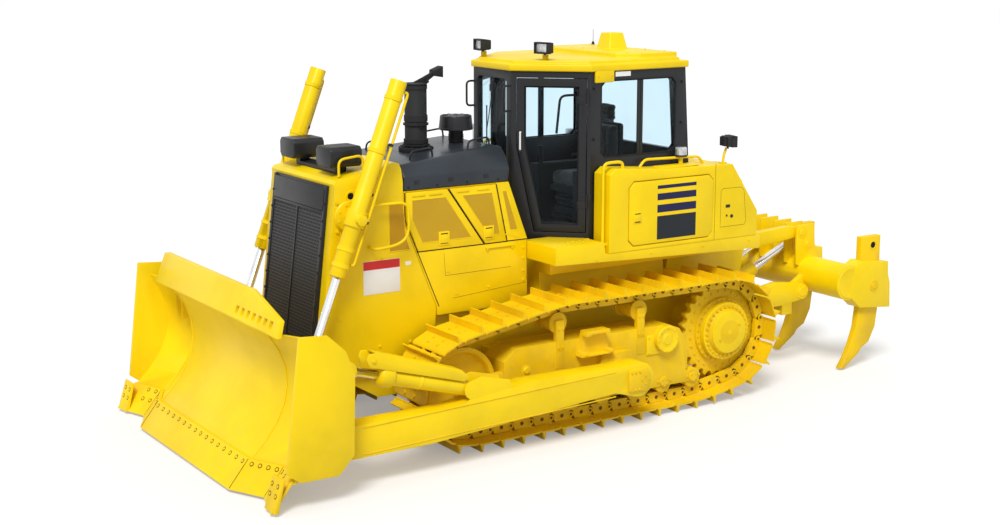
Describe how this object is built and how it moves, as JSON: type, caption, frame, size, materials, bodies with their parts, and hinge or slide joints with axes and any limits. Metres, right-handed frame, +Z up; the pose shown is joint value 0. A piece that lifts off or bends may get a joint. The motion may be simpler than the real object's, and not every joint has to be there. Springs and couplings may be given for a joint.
{
  "type": "bulldozer",
  "caption": "Crawler bulldozer with a folded blade on two push arms, a hexagonal cab, service doors and a three-shank parallelogram ripper.",
  "frame": {"origin": "middle of the machine's bounding box, on the ground under the track grousers", "axes": "+Z up, +Y backwards towards the ripper, +X towards the machine's left side"},
  "size_m": [3.596, 7.7372, 3.6403],
  "materials": {
    "yellow_paint": "smooth semi-gloss enamel",
    "track_steel": "semi-matt enamel with worn edges",
    "chrome_rod": "ground and polished",
    "black_paint": "satin",
    "cover_paint": "satin",
    "tinted_glass": "clear, slightly tinted",
    "engine_iron": "as cast, painted",
    "seat_fabric": "woven, padded",
    "trim_plastic": "grained"
  },
  "bodies": {
    "root": {"hull": "yellow_paint", "radiator_guard": "yellow_paint", "radiator_grille": "black_paint", "hood_frame": "yellow_paint", "hood_cover": "cover_paint", "engine_block": "engine_iron", "exhaust_pipe": "black_paint", "air_cleaner": "black_paint", "hood_lights": "black_paint", "cab_frame": "black_paint", "cab_roof": "yellow_paint", "windshield": "tinted_glass", "rear_window": "tinted_glass", "side_window_left": "tinted_glass", "side_window_right": "tinted_glass", "operator_seat": "seat_fabric", "control_console": "trim_plastic", "deck": "yellow_paint", "console_left": "yellow_paint", "console_right": "yellow_paint", "fuel_tank": "yellow_paint", "track_left": "track_steel", "track_right": "track_steel", "track_frame_left": "yellow_paint", "track_frame_right": "yellow_paint", "idler_left": "track_steel", "idler_right": "track_steel", "sprocket_left": "track_steel", "sprocket_right": "track_steel"},
    "blade_brace": {"diagonal_brace": "yellow_paint"},
    "blade": {"blade": "yellow_paint", "cutting_edge": "track_steel"},
    "push_arm_left": {"push_arm_left": "yellow_paint"},
    "push_arm_right": {"push_arm_right": "yellow_paint"},
    "tilt_cylinder": {"tilt_cylinder": "yellow_paint"},
    "tilt_rod": {"tilt_rod": "chrome_rod"},
    "exhaust_flap": {"exhaust_flap": "black_paint"},
    "console_door": {"console_door": "yellow_paint"},
    "ripper_arm": {"ripper_arm": "yellow_paint"},
    "ripper_link": {"ripper_link": "yellow_paint"},
    "ripper_beam": {"ripper_beam": "yellow_paint", "ripper_shank_left": "yellow_paint", "ripper_shank_middle": "yellow_paint", "ripper_shank_right": "yellow_paint"},
    "lift_cylinder_left": {"lift_cylinder_left": "yellow_paint"},
    "lift_rod_left": {"lift_rod_left": "chrome_rod"},
    "lift_cylinder_right": {"lift_cylinder_right": "yellow_paint"},
    "lift_rod_right": {"lift_rod_right": "chrome_rod"},
    "ripper_cylinder_left": {"ripper_cylinder_left": "yellow_paint"},
    "ripper_rod_left": {"ripper_rod_left": "chrome_rod"},
    "ripper_cylinder_right": {"ripper_cylinder_right": "yellow_paint"},
    "ripper_rod_right": {"ripper_rod_right": "chrome_rod"},
    "cab_door_left": {"cab_door_left": "black_paint", "door_glass_left": "tinted_glass"},
    "engine_door_front_left": {"engine_door_front_left": "yellow_paint"},
    "engine_door_rear_left": {"engine_door_rear_left": "yellow_paint"},
    "cab_door_right": {"cab_door_right": "black_paint", "door_glass_right": "tinted_glass"},
    "engine_door_front_right": {"engine_door_front_right": "yellow_paint"},
    "engine_door_rear_right": {"engine_door_rear_right": "yellow_paint"}
  },
  "joints": [
    {"name": "blade_lift", "type": "hinge", "parent": "root", "child": "blade_brace", "pos_m": [0, 0.05865, 0.515], "axis": [-1, 0, 0], "range_deg": [-8, 18.5]},
    {"name": "blade_tilt", "type": "hinge", "parent": "blade_brace", "child": "blade", "pos_m": [0, -3.22635, 0.7], "axis": [0, 1, 0], "range_deg": [-6, 6]},
    {"name": "push_arm_left_ball", "type": "hinge", "parent": "blade", "child": "push_arm_left", "pos_m": [1.48, -3.07135, 0.425], "axis": [1, 0, 0], "range_deg": [-2.84, 2.84]},
    {"name": "push_arm_right_ball", "type": "hinge", "parent": "blade", "child": "push_arm_right", "pos_m": [-1.48, -3.07135, 0.425], "axis": [1, 0, 0], "range_deg": [-2.84, 2.84]},
    {"name": "tilt_cylinder_swing", "type": "hinge", "parent": "push_arm_left", "child": "tilt_cylinder", "pos_m": [1.48, -1.78135, 0.7], "axis": [1, 0, 0], "range_deg": [-0.21857, 0.21857]},
    {"name": "tilt_rod_slide", "type": "slide", "parent": "tilt_cylinder", "child": "tilt_rod", "axis": [0, -0.962, 0.2732], "range_m": [-0.03058, 0.03058]},
    {"name": "lift_cylinder_left_swing", "type": "hinge", "parent": "root", "child": "lift_cylinder_left", "pos_m": [0.78, -2.48735, 2.17], "axis": [-1, 0, 0], "range_deg": [-5.57, 12.87]},
    {"name": "lift_rod_left_slide", "type": "slide", "parent": "lift_cylinder_left", "child": "lift_rod_left", "axis": [0, -0.3575, -0.9339], "range_m": [-0.97102, 0.4199]},
    {"name": "lift_cylinder_right_swing", "type": "hinge", "parent": "root", "child": "lift_cylinder_right", "pos_m": [-0.78, -2.48735, 2.17], "axis": [-1, 0, 0], "range_deg": [-5.57, 12.87]},
    {"name": "lift_rod_right_slide", "type": "slide", "parent": "lift_cylinder_right", "child": "lift_rod_right", "axis": [0, -0.3575, -0.9339], "range_m": [-0.97102, 0.4199]},
    {"name": "ripper_lift", "type": "hinge", "parent": "root", "child": "ripper_arm", "pos_m": [0, 2.06865, 0.8], "axis": [1, 0, 0], "range_deg": [-45, 45]},
    {"name": "ripper_beam_swing", "type": "hinge", "parent": "ripper_arm", "child": "ripper_beam", "pos_m": [0, 2.96865, 0.84], "axis": [1, 0, 0], "range_deg": [-45.04, 45.04]},
    {"name": "ripper_link_swing", "type": "hinge", "parent": "root", "child": "ripper_link", "pos_m": [0, 2.22865, 1.4], "axis": [1, 0, 0], "range_deg": [-45.04, 45.04]},
    {"name": "ripper_cylinder_left_swing", "type": "hinge", "parent": "root", "child": "ripper_cylinder_left", "pos_m": [0.195, 2.17865, 0.8], "axis": [1, 0, 0], "range_deg": [-32.3, 32.3]},
    {"name": "ripper_rod_left_slide", "type": "slide", "parent": "ripper_cylinder_left", "child": "ripper_rod_left", "axis": [0, 0.9013, 0.4333], "range_m": [-0.27102, 0.27102]},
    {"name": "ripper_cylinder_right_swing", "type": "hinge", "parent": "root", "child": "ripper_cylinder_right", "pos_m": [-0.195, 2.17865, 0.8], "axis": [1, 0, 0], "range_deg": [-32.3, 32.3]},
    {"name": "ripper_rod_right_slide", "type": "slide", "parent": "ripper_cylinder_right", "child": "ripper_rod_right", "axis": [0, 0.9013, 0.4333], "range_m": [-0.27102, 0.27102]},
    {"name": "cab_door_left_hinge", "type": "hinge", "parent": "root", "child": "cab_door_left", "pos_m": [0.84121, -0.04139, 2.06], "axis": [0, 0, 1], "range_deg": [0, 85]},
    {"name": "engine_door_front_left_hinge", "type": "hinge", "parent": "root", "child": "engine_door_front_left", "pos_m": [0.646, -1.89935, 2.326], "axis": [0, -1, 0], "range_deg": [0, 90]},
    {"name": "engine_door_rear_left_hinge", "type": "hinge", "parent": "root", "child": "engine_door_rear_left", "pos_m": [0.646, -1.45535, 2.326], "axis": [0, -1, 0], "range_deg": [0, 90]},
    {"name": "cab_door_right_hinge", "type": "hinge", "parent": "root", "child": "cab_door_right", "pos_m": [-0.84121, -0.04139, 2.06], "axis": [0, 0, -1], "range_deg": [0, 85]},
    {"name": "engine_door_front_right_hinge", "type": "hinge", "parent": "root", "child": "engine_door_front_right", "pos_m": [-0.646, -1.89935, 2.326], "axis": [0, 1, 0], "range_deg": [0, 90]},
    {"name": "engine_door_rear_right_hinge", "type": "hinge", "parent": "root", "child": "engine_door_rear_right", "pos_m": [-0.646, -1.45535, 2.326], "axis": [0, 1, 0], "range_deg": [0, 90]},
    {"name": "console_door_hinge", "type": "hinge", "parent": "root", "child": "console_door", "pos_m": [1.13, 1.29265, 1.995], "axis": [0, 0, 1], "range_deg": [0, 110]},
    {"name": "exhaust_flap_hinge", "type": "hinge", "parent": "root", "child": "exhaust_flap", "pos_m": [0, -1.30935, 3.252], "axis": [-1, 0, 0], "range_deg": [0, 65]}
  ],
  "couplings": [
    {"joint": "push_arm_left_ball", "follows": "blade_tilt", "ratio": 0.473},
    {"joint": "push_arm_right_ball", "follows": "blade_tilt", "ratio": -0.473},
    {"joint": "tilt_cylinder_swing", "follows": "blade_tilt", "ratio": -0.0364},
    {"joint": "tilt_rod_slide", "follows": "blade_tilt", "m_per_rad": -0.2918},
    {"joint": "lift_cylinder_left_swing", "follows": "blade_lift", "ratio": 0.6952},
    {"joint": "lift_rod_left_slide", "follows": "blade_lift", "m_per_rad": -3.0049},
    {"joint": "lift_cylinder_right_swing", "follows": "blade_lift", "ratio": 0.6952},
    {"joint": "lift_rod_right_slide", "follows": "blade_lift", "m_per_rad": -3.0049},
    {"joint": "ripper_beam_swing", "follows": "ripper_lift", "ratio": -1},
    {"joint": "ripper_link_swing", "follows": "ripper_lift", "ratio": 1},
    {"joint": "ripper_cylinder_left_swing", "follows": "ripper_lift", "ratio": 0.7172},
    {"joint": "ripper_rod_left_slide", "follows": "ripper_lift", "m_per_rad": 0.3448},
    {"joint": "ripper_cylinder_right_swing", "follows": "ripper_lift", "ratio": 0.7172},
    {"joint": "ripper_rod_right_slide", "follows": "ripper_lift", "m_per_rad": 0.3448}
  ]
}
